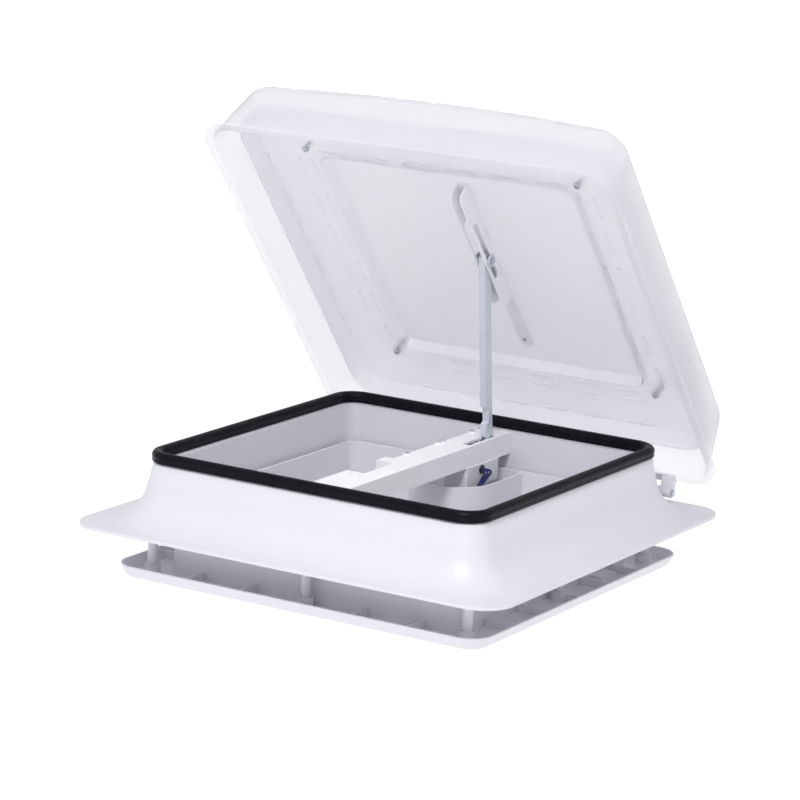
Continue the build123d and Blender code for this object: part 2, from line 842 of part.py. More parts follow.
# Pivot pin with a head, held in the gearbox's cheeks
cheek_left = arm_x - arm_width / 2 - seat_gap - cheek_thick
cheek_right = arm_x + arm_width / 2 + seat_gap
with BuildPart() as arm_pin:
    with BuildSketch(Plane.YZ.offset(cheek_left)):
        with Locations((pivot_y, pivot_z)):
            Circle(pin_radius)
    extrude(amount=cheek_right + cheek_thick - cheek_left)
    with BuildSketch(Plane.YZ.offset(cheek_left)):
        with Locations((pivot_y, pivot_z)):
            Circle(rod_head_radius)
    extrude(amount=-rod_head_thick)
save(arm_pin, "arm_pin")

# Axle and discs on the arm's tip, drawn from the roller's middle
disc_start = rail_half + seat_gap
with BuildPart() as roller_axle:
    with BuildSketch(Plane.YZ.offset(-disc_start - disc_thick)):
        with Locations((arm_offset, arm_reach)):
            Circle(axle_radius)
    extrude(amount=2 * disc_start + 2 * disc_thick)
    for side in (-1, 1):
        with BuildSketch(Plane.YZ.offset(side * (disc_start + disc_thick))):
            with Locations((arm_offset, arm_reach)):
                Circle(axle_radius + axle_head_extra)
        extrude(amount=side * axle_head_thick)
save(roller_axle, "roller_axle", arm_place)


def roller_disc(side):
    """Disc on one end of the axle, with a chamfered outer edge."""
    with BuildPart() as disc:
        with BuildSketch(Plane.YZ.offset(side * disc_start)):
            with Locations((arm_offset, arm_reach)):
                Circle(disc_radius)
                Circle(axle_radius, mode=Mode.SUBTRACT)
        extrude(amount=side * disc_thick)
        rims = disc.edges().filter_by(GeomType.CIRCLE).sort_by(SortBy.RADIUS)[-2:]
        chamfer(rims.sort_by(Axis.X)[0 if side < 0 else -1], length=disc_thick / 3)
    return disc


save(roller_disc(-1), "roller_left", arm_place)
save(roller_disc(1), "roller_right", arm_place)

# Crossbeam: inverted channel, narrow at its near end, with two feet, a lug, screw bosses and a slot for the arm
arm_slot_half = arm_width / 2 + arm_slot_gap
beam_rooms = [
    (beam_near_left, beam_right, -beam_half, beam_lug_start + 2 * beam_wall, beam_top),
    (beam_left, beam_right, beam_lug_start, beam_half, beam_top),
    (foot_left, beam_near_left + beam_wall, -beam_half, near_foot_length - beam_half, beam_top),
    (foot_left, beam_left + beam_wall, beam_half - far_foot_length, beam_half, foot_top),
]
foot_screws = [(foot_screw_x, -foot_screw_half, beam_top), (foot_screw_x, foot_screw_half, beam_top)]
with BuildPart() as operator_beam:
    for left, right, near, far, top in beam_rooms:
        with BuildSketch(Plane.XY.offset(beam_bottom)):
            with Locations(((left + right) / 2, (near + far) / 2)):
                Rectangle(right - left, far - near)
        extrude(amount=top - beam_bottom)
    with BuildSketch(Plane.XY.offset(beam_top - beam_lug_thick)):
        with Locations(((foot_left + beam_left) / 2, beam_lug_start + beam_lug_length / 2)):
            Rectangle(beam_left - foot_left, beam_lug_length)
    extrude(amount=beam_lug_thick)
    for left, right, near, far, top in beam_rooms:
        with BuildSketch(Plane.XY.offset(beam_bottom)):
            with Locations(((left + right) / 2, (near + far) / 2)):
                Rectangle(right - left - 2 * beam_wall, far - near - 2 * beam_wall)
        extrude(amount=top - beam_bottom - beam_wall, mode=Mode.SUBTRACT)
    with BuildSketch(Plane.XY.offset(beam_bottom)):
        with Locations(*[(boss_x, y) for y in boss_places]):
            Circle(boss_radius)
    extrude(amount=boss_top - beam_bottom)
    with BuildSketch(Plane.XY.offset(beam_bottom)):
        with Locations(*[(x, y) for x, y, top in foot_screws]):
            Circle(boss_radius)
    extrude(amount=beam_height)
    with BuildSketch(Plane.XY.offset(beam_bottom - overrun)):
        with Locations(*[(boss_x, y) for y in boss_places]):
            Circle(small_screw_radius + running_gap)
        with Locations(*[(x, y) for x, y, top in foot_screws]):
            Circle(small_screw_radius + running_gap)
        with Locations((foot_screw_x, near_foot_hole)):
            Circle(pilot_radius)
    extrude(amount=beam_height + 2 * overrun + boss_radius, mode=Mode.SUBTRACT)
    with BuildSketch(Plane.XY.offset(beam_top - beam_wall - overrun)):
        with Locations((arm_x, (slot_start + slot_end) / 2)):
            Rectangle(2 * arm_slot_half, slot_end - slot_start)
    extrude(amount=beam_wall + 2 * overrun, mode=Mode.SUBTRACT)
save(operator_beam, "operator_beam")

foot_screw = screw_shape(
    small_screw_radius, beam_height + ledge_thick / 2 - overrun, small_head_radius, small_head_thick
)
boss_screw = screw_shape(
    small_screw_radius, boss_top - beam_bottom + gearbox_ear_thick, small_head_radius, small_head_thick
)
with BuildPart() as beam_screws:
    for x, y, top in foot_screws:
        add(Pos(x, y, top) * Rot(X=half_turn) * foot_screw)
    for y in boss_places:
        add(Pos(boss_x, y, boss_top) * Rot(X=half_turn) * boss_screw)
save(beam_screws, "beam_screws")

# Gearbox under the beam: box open to the left, bush seats, cheeks for the pin and two ears
worm_z = pivot_z - wheel_pitch - worm_radius
worm_length = worm_turns * worm_pitch
worm_start = pivot_y - worm_length / 2
bush_near = worm_start - seat_gap - bush_length
bush_far = worm_start + worm_length + seat_gap
motor_end = bush_near - seat_gap
gearbox_mid_y = (gearbox_near + gearbox_far) / 2
gearbox_length = gearbox_far - gearbox_near
gearbox_height = beam_bottom - gearbox_bottom
gearbox_mid_z = (beam_bottom + gearbox_bottom) / 2
seat_top = worm_z + bush_radius + gearbox_wall
cover_places = [
    (gearbox_mid_y + across * (gearbox_length / 2 - gearbox_corner),
     gearbox_mid_z - gearbox_roof / 2 + up * (gearbox_height / 2 - gearbox_corner - gearbox_roof / 2))
    for across in (-1, 1) for up in (-1, 1)
]
with BuildPart() as gearbox_body:
    with BuildSketch(Plane.YZ.offset(gearbox_left)):
        with Locations((gearbox_mid_y, gearbox_mid_z)):
            Rectangle(gearbox_length, gearbox_height)
    extrude(amount=gearbox_right - gearbox_left)
    fillet(gearbox_body.edges().filter_by(Axis.X).group_by(Axis.Z)[0], radius=gearbox_corner)
    fillet(gearbox_body.edges().filter_by(Axis.Z).group_by(Axis.X)[-1], radius=gearbox_corner / 2)
    with BuildSketch(Plane.YZ.offset(gearbox_left)):
        with Locations((gearbox_mid_y, gearbox_mid_z + (gearbox_wall - gearbox_roof) / 2)):
            RectangleRounded(
                gearbox_length - 2 * gearbox_wall,
                gearbox_height - gearbox_wall - gearbox_roof,
                gearbox_corner - gearbox_wall,
            )
    extrude(amount=gearbox_right - gearbox_left - gearbox_wall, mode=Mode.SUBTRACT)
    # Bush seats, open to the left for assembly
    for seat_y in (bush_near, bush_far):
        with BuildSketch(Plane.XZ.offset(-seat_y)):
            with Locations(((gearbox_left + gearbox_right) / 2, (gearbox_bottom + seat_top) / 2)):
                Rectangle(gearbox_right - gearbox_left - gearbox_wall, seat_top - gearbox_bottom)
            with Locations((arm_x, worm_z)):
                Circle(bush_radius, mode=Mode.SUBTRACT)
            with Locations(((arm_x + gearbox_left - overrun) / 2, worm_z)):
                Rectangle(
                    arm_x - gearbox_left + overrun, 2 * bush_radius, mode=Mode.SUBTRACT
                )
        extrude(amount=-bush_length)
    # Corner posts for the cover's screws
    with BuildSketch(Plane.YZ.offset(gearbox_left)):
        with Locations(*cover_places):
            Circle(gearbox_corner)
    extrude(amount=gearbox_post_length)
    with BuildSketch(Plane.YZ.offset(gearbox_left - overrun)):
        with Locations(*cover_places):
            Circle(small_screw_radius)
    extrude(amount=gearbox_post_length, mode=Mode.SUBTRACT)
    # Slot for the wheel sector in the roof
    with BuildSketch(Plane.XY.offset(beam_bottom - gearbox_roof - overrun)):
        with Locations((arm_x, pivot_y)):
            Rectangle(arm_width - overrun, 2 * wheel_tip)
    extrude(amount=gearbox_roof + 2 * overrun, mode=Mode.SUBTRACT)
    # Cheeks for the arm's pin
    for cheek_x in (cheek_left, cheek_right):
        with BuildSketch(Plane.YZ.offset(cheek_x)):
            with Locations((pivot_y, pivot_z)):
                Circle(ear_radius)
            with BuildLine():
                Polyline(
                    (pivot_y - ear_radius, pivot_z),
                    (pivot_y - ear_radius * 3 / 2, beam_bottom - gearbox_roof / 2),
                    (pivot_y + ear_radius * 3 / 2, beam_bottom - gearbox_roof / 2),
                    (pivot_y + ear_radius, pivot_z),
                    close=True,
                )
            make_face()
            with Locations((pivot_y, pivot_z)):
                Circle(pin_radius, mode=Mode.SUBTRACT)
        extrude(amount=cheek_thick)
    # Ears under the beam's bosses
    for ear_y in boss_places[2:]:
        with BuildSketch(Plane.XY.offset(beam_bottom - gearbox_ear_thick)):
            with Locations((boss_x, ear_y)):
                Circle(boss_radius)
            with Locations(((boss_x + gearbox_left) / 2, ear_y)):
                Rectangle(gearbox_left - boss_x + overrun, 2 * boss_radius)
            with Locations((boss_x, ear_y)):
                Circle(small_screw_radius, mode=Mode.SUBTRACT)
        extrude(amount=gearbox_ear_thick)
    # Hole for the grommet, with room for its inner lip
    with BuildSketch(Plane.YZ.offset(gearbox_right - gearbox_wall - grommet_lip)):
        with Locations((grommet_y, grommet_z)):
            Circle(grommet_radius + seat_gap)
    extrude(amount=grommet_lip, mode=Mode.SUBTRACT)
    with BuildSketch(Plane.YZ.offset(gearbox_right - gearbox_wall - overrun)):
        with Locations((grommet_y, grommet_z)):
            Circle(grommet_radius - grommet_groove)
    extrude(amount=gearbox_wall + 2 * overrun, mode=Mode.SUBTRACT)
save(gearbox_body, "gearbox_body")

cover_height = gearbox_height - gearbox_roof - running_gap
with BuildPart() as gearbox_cover:
    with BuildSketch(Plane.YZ.offset(gearbox_left)):
        with Locations((gearbox_mid_y, gearbox_bottom + cover_height / 2)):
            RectangleRounded(gearbox_length, cover_height, gearbox_corner)
    extrude(amount=-gearbox_wall)
    with BuildSketch(Plane.YZ.offset(gearbox_left - gearbox_wall)):
        with Locations((gearbox_mid_y, gearbox_bottom + cover_height / 2)):
            RectangleRounded(
                gearbox_length - 4 * gearbox_corner, cover_height - 2 * gearbox_corner, gearbox_corner
            )
    extrude(amount=-gearbox_wall / 2)
    with BuildSketch(Plane.YZ.offset(gearbox_left + overrun)):
        with Locations(*cover_places):
            Circle(small_screw_radius + running_gap)
    extrude(amount=-gearbox_wall - 2 * overrun, mode=Mode.SUBTRACT)
save(gearbox_cover, "gearbox_cover")

cover_screw = screw_shape(
    small_screw_radius, gearbox_wall + gearbox_post_length / 2, small_head_radius, small_head_thick
)
with BuildPart() as gearbox_screws:
    for place in cover_places:
        add(
            Pos(gearbox_left - gearbox_wall, place[0], place[1]) * Rot(Y=quarter_turn) * cover_screw
        )
save(gearbox_screws, "gearbox_screws")

# Motor, its shaft, the bushes and the worm
worm_line = Pos(arm_x, 0, worm_z) * Rot(X=-quarter_turn)
motor_start = motor_end - motor_length
with BuildPart() as motor:
    with BuildSketch(Plane.XY.offset(motor_start)):
        Circle(motor_radius)
    extrude(amount=motor_length - motor_nose)
    with BuildSketch(Plane.XY.offset(motor_start + motor_length - motor_nose)):
        Circle(bush_radius)
    extrude(amount=motor_nose)
    fillet(
        motor.edges().filter_by(GeomType.CIRCLE).sort_by(SortBy.RADIUS)[-2:],
        radius=motor_nose / 2,
    )
    with BuildSketch(Plane.XY.offset(motor_start + motor_length)):
        Circle(shaft_radius + running_gap)
    extrude(amount=-motor_length / 2, mode=Mode.SUBTRACT)
save(motor, "motor", worm_line)

with BuildPart() as worm_shaft:
    with BuildSketch(Plane.XY.offset(motor_end - motor_length / 3)):
        Circle(shaft_radius)
    extrude(amount=bush_far + bush_length - motor_end + motor_length / 3)
save(worm_shaft, "worm_shaft", worm_line)

with BuildPart() as worm_bushes:
    for start in (bush_near, bush_far):
        with BuildSketch(Plane.XY.offset(start)):
            Circle(bush_radius)
            Circle(shaft_radius + running_gap, mode=Mode.SUBTRACT)
        extrude(amount=bush_length)
save(worm_bushes, "worm_bushes", worm_line)

worm_root = worm_radius - tooth_module * dedendum_share
worm_tip = worm_radius + tooth_module
with BuildPart() as worm:
    with BuildLine():
        Helix(pitch=worm_pitch, height=worm_length - worm_pitch, radius=worm_root)
    with BuildSketch(Plane.XZ):
        with BuildLine():
            Polyline(
                (worm_root - tooth_module / 2, -half_tooth - tooth_slope * 3 / 2),
                (worm_tip, -half_tooth + tooth_slope),
                (worm_tip, half_tooth - tooth_slope),
                (worm_root - tooth_module / 2, half_tooth + tooth_slope * 3 / 2),
                close=True,
            )
        make_face()
    sweep(is_frenet=True)
    with BuildSketch(Plane.XY.offset(-worm_pitch / 2)):
        Circle(worm_root)
    extrude(amount=worm_length)
    with BuildSketch(Plane.XY.offset(-worm_pitch / 2 - overrun)):
        Circle(shaft_radius)
    extrude(amount=worm_length + 2 * overrun, mode=Mode.SUBTRACT)
save(worm, "worm", worm_line * Pos(0, 0, worm_start + worm_pitch / 2) * Rot(Z=worm_phase))


def clip_pockets():
    """Face of the four pockets for the screen's clips, lying below the trim."""
    with BuildSketch(Plane.XY.offset(trim_bottom - overrun)) as face:
        for quarter in range(4):
            with Locations(Rot(Z=quarter * quarter_turn)):
                with Locations((clip_pocket_x, clip_pocket_y)):
                    Rectangle(clip_pocket_width, clip_pocket_length)
    return face.sketch


# Interior trim: tray with a rounded lip, floor ribs and screw sockets
tray_floor = trim_bottom + trim_wall
tray_half = trim_half - trim_draft
with BuildPart() as interior_trim:
    with BuildSketch(Plane.XY.offset(trim_bottom)):
        RectangleRounded(2 * tray_half, 2 * tray_half, trim_corner - trim_draft)
    with BuildSketch(Plane.XY.offset(trim_lip)):
        RectangleRounded(2 * trim_half, 2 * trim_half, trim_corner)
    loft()
    fillet(interior_trim.edges().group_by(Axis.Z)[0], radius=trim_round)
    with BuildSketch(Plane.XY.offset(tray_floor)):
        RectangleRounded(
            2 * (tray_half - trim_wall), 2 * (tray_half - trim_wall), trim_corner - trim_draft - trim_wall
        )
    with BuildSketch(Plane.XY.offset(trim_lip)):
        RectangleRounded(2 * (trim_half - trim_wall), 2 * (trim_half - trim_wall), trim_corner - trim_wall)
    loft(mode=Mode.SUBTRACT)
    fillet(interior_trim.edges().group_by(Axis.Z)[-1], radius=trim_wall / 3)
    # Ribs across the tray's floor
    rib_middle = (collar_half + tray_half) / 2
    rib_reach = tray_half - collar_half - trim_wall
    rib_spots = [(n - (floor_rib_count - 1) / 2) * floor_rib_pitch for n in range(floor_rib_count)]
    with BuildSketch(Plane.XY.offset(tray_floor - trim_wall / 2)):
        for quarter in range(4):
            with Locations(Rot(Z=quarter * quarter_turn)):
                with Locations(*[(rib_middle, spot) for spot in rib_spots]):
                    Rectangle(rib_reach, floor_rib_width)
    extrude(amount=floor_rib_height + trim_wall / 2)
    # Screw sockets
    with BuildSketch(Plane.XY.offset(tray_floor - trim_wall / 2)):
        with Locations(*ring_places(post_half)):
            Circle(post_radius + socket_gap + socket_wall)
    extrude(amount=socket_top - tray_floor + trim_wall / 2)
    # Pads over the pockets of the screen's clips
    with BuildSketch(Plane.XY.offset(tray_floor - trim_wall / 2)):
        for quarter in range(4):
            with Locations(Rot(Z=quarter * quarter_turn)):
                with Locations((clip_pocket_x, clip_pocket_y)):
                    Rectangle(clip_pocket_width + 2 * trim_wall, clip_pocket_length + 2 * trim_wall)
    extrude(amount=clip_pocket_depth + trim_wall / 2)
    # Opening for the collar
    with BuildSketch(Plane.XY.offset(trim_bottom - overrun)):
        RectangleRounded(2 * collar_half, 2 * collar_half, collar_corner)
    extrude(amount=post_radius - trim_bottom, mode=Mode.SUBTRACT)
    # Sockets' recesses, their screw holes and counterbores
    with BuildSketch(Plane.XY.offset(socket_top)):
        with Locations(*ring_places(post_half)):
            Circle(post_radius + socket_gap)
    extrude(amount=socket_floor - socket_top, mode=Mode.SUBTRACT)
    with BuildSketch(Plane.XY.offset(trim_bottom - overrun)):
        with Locations(*ring_places(post_half)):
            Circle(screw_radius + seat_gap)
    extrude(amount=socket_top - trim_bottom, mode=Mode.SUBTRACT)
    with BuildSketch(Plane.XY.offset(trim_bottom)):
        with Locations(*ring_places(post_half)):
            Circle(screw_head_radius + seat_gap)
    extrude(amount=screw_sink, mode=Mode.SUBTRACT)
    # Pockets for the screen's clips and pilot holes for their screws
    extrude(clip_pockets(), amount=clip_pocket_depth + overrun, mode=Mode.SUBTRACT)
    with BuildSketch(Plane.XY.offset(trim_bottom + clip_pocket_depth)):
        for quarter in range(4):
            with Locations(Rot(Z=quarter * quarter_turn)):
                with Locations((clip_pivot_x, clip_pivot_y)):
                    Circle(small_screw_radius)
    extrude(amount=trim_wall - overrun, mode=Mode.SUBTRACT)
save(interior_trim, "interior_trim")

# Collar that rises from the tray inside the base frame
with BuildPart() as trim_collar:
    extrude(
        square_ring(
            trim_bottom,
            collar_half,
            collar_corner,
            collar_half - collar_wall,
            collar_corner - collar_wall,
        ),
        amount=collar_top - trim_bottom,
    )
    extrude(clip_pockets(), amount=clip_pocket_depth + overrun, mode=Mode.SUBTRACT)
save(trim_collar, "trim_collar")

# Tub under the crossbeam, against the collar's far wall
tub_inner = tub_radius - tub_wall
tub_end = collar_half - collar_wall
with BuildPart() as trim_tub:
    with BuildSketch(Plane.XY.offset(trim_bottom)):
        with Locations((tub_x, tub_y)):
            Circle(tub_radius)
        with Locations((tub_x, (tub_y + tub_end) / 2)):
            Rectangle(2 * tub_radius, tub_end - tub_y)
    extrude(amount=tub_rim - trim_bottom)
    with BuildSketch(Plane.XY.offset(trim_bottom - overrun)):
        with Locations((tub_x, tub_y)):
            Circle(tub_inner)
        with Locations((tub_x, (tub_y + tub_end + overrun) / 2)):
            Rectangle(2 * tub_inner, tub_end + overrun - tub_y)
    extrude(amount=tub_rim - trim_bottom + 2 * overrun, mode=Mode.SUBTRACT)
    with BuildSketch(Plane.XY.offset(tub_floor)):
        with Locations((tub_x, tub_y)):
            Circle(tub_radius - tub_wall / 2)
        with Locations((tub_x, (tub_y + tub_end) / 2)):
            Rectangle(2 * tub_radius - tub_wall, tub_end - tub_y)
    extrude(amount=tub_wall)
    # Opening for the switch in the floor
    with BuildSketch(Plane.XY.offset(tub_floor)):
        with Locations((switch_x, switch_y)):
            Rectangle(switch_length - 2 * bezel_border, switch_width - 2 * bezel_border)
    extrude(amount=tub_wall, mode=Mode.SUBTRACT)
save(trim_tub, "trim_tub")

trim_screw = screw_shape(screw_radius, trim_screw_length, screw_head_radius, screw_head_thick)
with BuildPart() as fixing_screws:
    for place in ring_places(post_half):
        add(Pos(place[0], place[1], trim_bottom + screw_sink) * trim_screw)
save(fixing_screws, "fixing_screws")

# Fly screen: stepped frame notched round the tub, and the mesh on its step
screen_half = collar_half - collar_wall - screen_gap
screen_corner = collar_corner - collar_wall - screen_gap
screen_bottom = trim_bottom + clip_pocket_depth + running_gap


def screen_face(height, inset):
    """Face of the screen at this height, inset evenly from the opening and from the tub."""
    notch_radius = tub_radius + screen_gap + inset
    with BuildSketch(Plane.XY.offset(height)) as face:
        RectangleRounded(2 * (screen_half - inset), 2 * (screen_half - inset), screen_corner)
        with Locations((tub_x, tub_y)):
            Circle(notch_radius, mode=Mode.SUBTRACT)
        with Locations((tub_x, (tub_y + collar_half) / 2)):
            Rectangle(2 * notch_radius, collar_half - tub_y, mode=Mode.SUBTRACT)
    return face.sketch


with BuildPart() as screen_frame:
    extrude(screen_face(screen_bottom, 0), amount=screen_frame_thick)
    extrude(
        screen_face(screen_bottom - overrun, screen_frame_width),
        amount=screen_frame_thick + 2 * overrun,
        mode=Mode.SUBTRACT,
    )
    extrude(
        screen_face(screen_bottom + screen_frame_thick / 2, screen_frame_width - screen_step),
        amount=screen_frame_thick,
        mode=Mode.SUBTRACT,
    )
save(screen_frame, "screen_frame")

with BuildPart() as screen_mesh:
    extrude(
        screen_face(
            screen_bottom + screen_frame_thick / 2, screen_frame_width - screen_step + running_gap
        ),
        amount=screen_thick,
    )
save(screen_mesh, "screen_mesh")

# Turn buttons that hold the screen, and their screws
clip_height = trim_bottom + clip_pocket_depth - seat_gap - screen_clip_thick
clip_reach = screen_clip_length - screen_clip_height
for quarter in range(4):
    clip_turn = Rot(Z=quarter * quarter_turn)
    with BuildPart() as screen_clip:
        with BuildSketch(Plane.XY.offset(clip_height)):
            with Locations((clip_pivot_x - clip_reach / 2, clip_pivot_y)):
                SlotOverall(screen_clip_length, screen_clip_height)
        extrude(amount=screen_clip_thick)
        chamfer(screen_clip.edges().group_by(Axis.Z)[0], length=screen_clip_thick / 4)
        with BuildSketch(Plane.XY.offset(clip_height)):
            with Locations((clip_pivot_x, clip_pivot_y)):
                Circle(small_screw_radius + running_gap)
        extrude(amount=screen_clip_thick, mode=Mode.SUBTRACT)
    save(screen_clip, f"screen_clip_{quarter + 1}", clip_turn)

clip_screw = screw_shape(
    small_screw_radius, screen_clip_thick + seat_gap + trim_wall / 2, small_head_radius, small_head_thick
)
with BuildPart() as clip_screws:
    for quarter in range(4):
        add(
            Rot(Z=quarter * quarter_turn)
            * Pos(clip_pivot_x, clip_pivot_y, clip_height - running_gap)
            * clip_screw
        )
save(clip_screws, "clip_screws")

# Rocker switch in the tub's floor, facing down
switch_inner_length = switch_length - 2 * bezel_border - 2 * switch_wall
switch_inner_width = switch_width - 2 * bezel_border - 2 * switch_wall
rocker_z = tub_floor - bezel_thick
tab_places = [(switch_x + n * switch_tab_pitch, switch_y) for n in (-1, 0, 1)]
with BuildPart() as switch_body:
    with BuildSketch(Plane.XY.offset(tub_floor)):
        with Locations((switch_x, switch_y)):
            RectangleRounded(switch_length, switch_width, bezel_border)
    extrude(amount=-bezel_thick)
    with BuildSketch(Plane.XY.offset(tub_floor)):
        with Locations((switch_x, switch_y)):
            Rectangle(switch_length - 2 * bezel_border - running_gap, switch_width - 2 * bezel_border - running_gap)
    extrude(amount=switch_height)
    with BuildSketch(Plane.XY.offset(tub_floor - bezel_thick)):
        with Locations((switch_x, switch_y)):
            Rectangle(switch_inner_length, switch_inner_width)
    extrude(amount=bezel_thick + switch_depth, mode=Mode.SUBTRACT)
    with BuildSketch(Plane.XY.offset(tub_floor + switch_height)):
        with Locations(*tab_places):
            Rectangle(switch_tab_thick, switch_tab_width)
    extrude(amount=switch_tab_height)
save(switch_body, "switch_body")

# Rocker: lens-shaped profile along X, drawn level from its pivot
rocker_half = switch_inner_length / 2 - rocker_gap
with BuildPart() as switch_rocker:
    with BuildSketch(Plane.XZ.offset(-switch_inner_width / 2 + rocker_gap)):
        with BuildLine():
            ThreePointArc((-rocker_half, -rocker_swell), (0, -rocker_swell / 2), (rocker_half, -rocker_swell))
            Line((rocker_half, -rocker_swell), (rocker_half / 2, rocker_swell))
            Line((rocker_half / 2, rocker_swell), (-rocker_half / 2, rocker_swell))
            Line((-rocker_half / 2, rocker_swell), (-rocker_half, -rocker_swell))
        make_face()
    extrude(amount=switch_inner_width - 2 * rocker_gap)
save(switch_rocker, "switch_rocker", Pos(switch_x, switch_y, rocker_z))

# Supply terminals on the tub's floor
block_floor = tub_floor + tub_wall
terminal_spots = [
    (terminal_x + n * terminal_length / 4, terminal_y) for n in (-1, 1)
]
with BuildPart() as terminal_block:
    with BuildSketch(Plane.XY.offset(block_floor)):
        with Locations((terminal_x, terminal_y)):
            Rectangle(terminal_length, terminal_width)
    extrude(amount=terminal_height)
    chamfer(terminal_block.edges().group_by(Axis.Z)[-1], length=overrun)
    with BuildSketch(Plane.XY.offset(block_floor + terminal_height)):
        with Locations(*terminal_spots):
            Circle(small_head_radius + seat_gap)
    extrude(amount=-terminal_height / 2, mode=Mode.SUBTRACT)
    with BuildSketch(Plane.XZ.offset(-terminal_y - terminal_width)):
        with Locations(*[(spot[0], block_floor + terminal_height / 3) for spot in terminal_spots]):
            Circle(lead_radius + seat_gap)
    extrude(amount=2 * terminal_width, mode=Mode.SUBTRACT)
save(terminal_block, "terminal_block")

terminal_screw = screw_shape(
    small_screw_radius, terminal_height / 6, small_head_radius, small_head_thick
)
with BuildPart() as terminal_screws:
    for spot in terminal_spots:
        add(
            Pos(spot[0], spot[1], block_floor + terminal_height / 2 + terminal_height / 6)
            * Rot(X=half_turn)
            * terminal_screw
        )
save(terminal_screws, "terminal_screws")

# Grommet in the gearbox's right side, grooved for the wall
with BuildPart() as motor_grommet:
    with BuildSketch(Plane.YZ.offset(gearbox_right + grommet_lip)):
        with Locations((grommet_y, grommet_z)):
            Circle(grommet_radius)
    extrude(amount=-gearbox_wall - 3 * grommet_lip / 2)
    fillet(motor_grommet.edges().group_by(Axis.X)[-1], radius=grommet_lip / 2)
    with BuildSketch(Plane.YZ.offset(gearbox_right)):
        with Locations((grommet_y, grommet_z)):
            Circle(grommet_radius + overrun)
            Circle(grommet_radius - grommet_groove, mode=Mode.SUBTRACT)
    extrude(amount=-gearbox_wall, mode=Mode.SUBTRACT)
    with BuildSketch(Plane.YZ.offset(gearbox_right + 2 * grommet_lip)):
        with Locations((grommet_y, grommet_z)):
            SlotOverall(2 * grommet_bore, 2 * lead_radius + 2 * running_gap)
    extrude(amount=-gearbox_wall - 4 * grommet_lip, mode=Mode.SUBTRACT)
save(motor_grommet, "motor_grommet")

# Leads: three from the grommet, two of them to the switch and one to the terminals, and one between those
lead_pitch = 2 * lead_radius + lead_space
tab_top = tub_floor + switch_height + switch_tab_height
entry_z = block_floor + terminal_height / 3
entry_y = terminal_y - terminal_width / 4


def lead_core(points):
    """Round core along a path with rounded bends, from its first point to its last."""
    with BuildPart() as core:
        with BuildLine() as route:
            FilletPolyline(*points, radius=lead_bend)
        path = route.wire()
        with BuildSketch(Plane(origin=path @ 0, z_dir=path % 0)):
            Circle(lead_radius)
        sweep(path=path)
    print("lead length and bend radius:", path.length, lead_bend)
    return core.part


def run_spot(number):
    """Place of one lead's downward run beside the tub's wall, counted from the gearbox."""
    return (lead_run_x + number * lead_pitch, switch_y + lead_run_shift - number * lead_step)


core_ends = (
    [(tab_places[2][0], run_spot(0)[1], lead_cross_z), (tab_places[2][0], run_spot(0)[1], tab_top)],
    [(tab_places[1][0], run_spot(1)[1], lead_cross_z), (tab_places[1][0], run_spot(1)[1], tab_top)],
    [(terminal_spots[1][0], terminal_y - 2 * terminal_width, entry_z), (terminal_spots[1][0], entry_y, entry_z)],
)
with BuildPart() as motor_leads:
    for number, ends in enumerate(core_ends):
        start_y = grommet_y + (number - 1) * lead_pitch
        run_x, run_y = run_spot(number)
        add(
            lead_core(
                [
                    (gearbox_right - gearbox_wall, start_y, grommet_z),
                    (run_x, start_y, grommet_z),
                    (run_x, run_y, lead_loop_z),
                    (run_x, run_y, ends[0][2]),
                    *ends,
                ]
            )
        )
save(motor_leads, "motor_leads")

with BuildPart() as switch_lead:
    add(
        lead_core(
            [
                (tab_places[0][0], switch_y, tab_top),
                (tab_places[0][0], switch_y, lead_cross_z),
                (tab_places[0][0], terminal_y - 2 * terminal_width, lead_cross_z),
                (terminal_spots[0][0], terminal_y - 2 * terminal_width, lead_cross_z),
                (terminal_spots[0][0], terminal_y - 2 * terminal_width, entry_z),
                (terminal_spots[0][0], entry_y, entry_z),
            ]
        )
    )
save(switch_lead, "switch_lead")

# Clip on the tub's wall round the three downward runs
run_slope = math.degrees(math.atan2(-lead_step, lead_pitch))
with BuildPart() as lead_clip:
    with BuildSketch(Plane.XY.offset(lead_clip_z)):
        with Locations(run_spot(3 / 2)):
            SlotOverall(lead_clip_length, lead_clip_width, rotation=run_slope)
        with Locations((tub_x, tub_y)):
            Circle(tub_inner, mode=Mode.INTERSECT)
        with Locations(*[run_spot(number) for number in range(3)]):
            Circle(lead_radius + running_gap, mode=Mode.SUBTRACT)
    extrude(amount=lead_clip_height)
save(lead_clip, "lead_clip")
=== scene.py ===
"""Scene of the caravan roof vent: materials, floor, lights and camera.

Metres, +Z up, in the CAD model's own frame.
"""
import json
import math

import bpy
from mathutils import Matrix, Vector


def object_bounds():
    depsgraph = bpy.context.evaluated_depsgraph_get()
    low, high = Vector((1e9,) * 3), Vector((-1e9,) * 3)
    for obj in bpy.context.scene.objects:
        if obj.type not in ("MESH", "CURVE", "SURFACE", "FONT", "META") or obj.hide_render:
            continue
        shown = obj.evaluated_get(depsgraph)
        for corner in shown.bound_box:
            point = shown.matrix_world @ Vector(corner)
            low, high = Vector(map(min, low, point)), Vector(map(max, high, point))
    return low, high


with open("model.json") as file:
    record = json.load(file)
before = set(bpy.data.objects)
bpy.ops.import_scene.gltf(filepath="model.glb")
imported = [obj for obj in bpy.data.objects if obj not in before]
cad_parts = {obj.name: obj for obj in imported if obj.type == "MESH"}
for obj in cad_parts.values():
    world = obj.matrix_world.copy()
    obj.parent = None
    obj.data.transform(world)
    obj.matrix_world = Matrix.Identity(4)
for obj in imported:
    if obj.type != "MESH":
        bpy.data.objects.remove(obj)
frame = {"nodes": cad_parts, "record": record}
cad_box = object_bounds()
NODES = frame["nodes"]

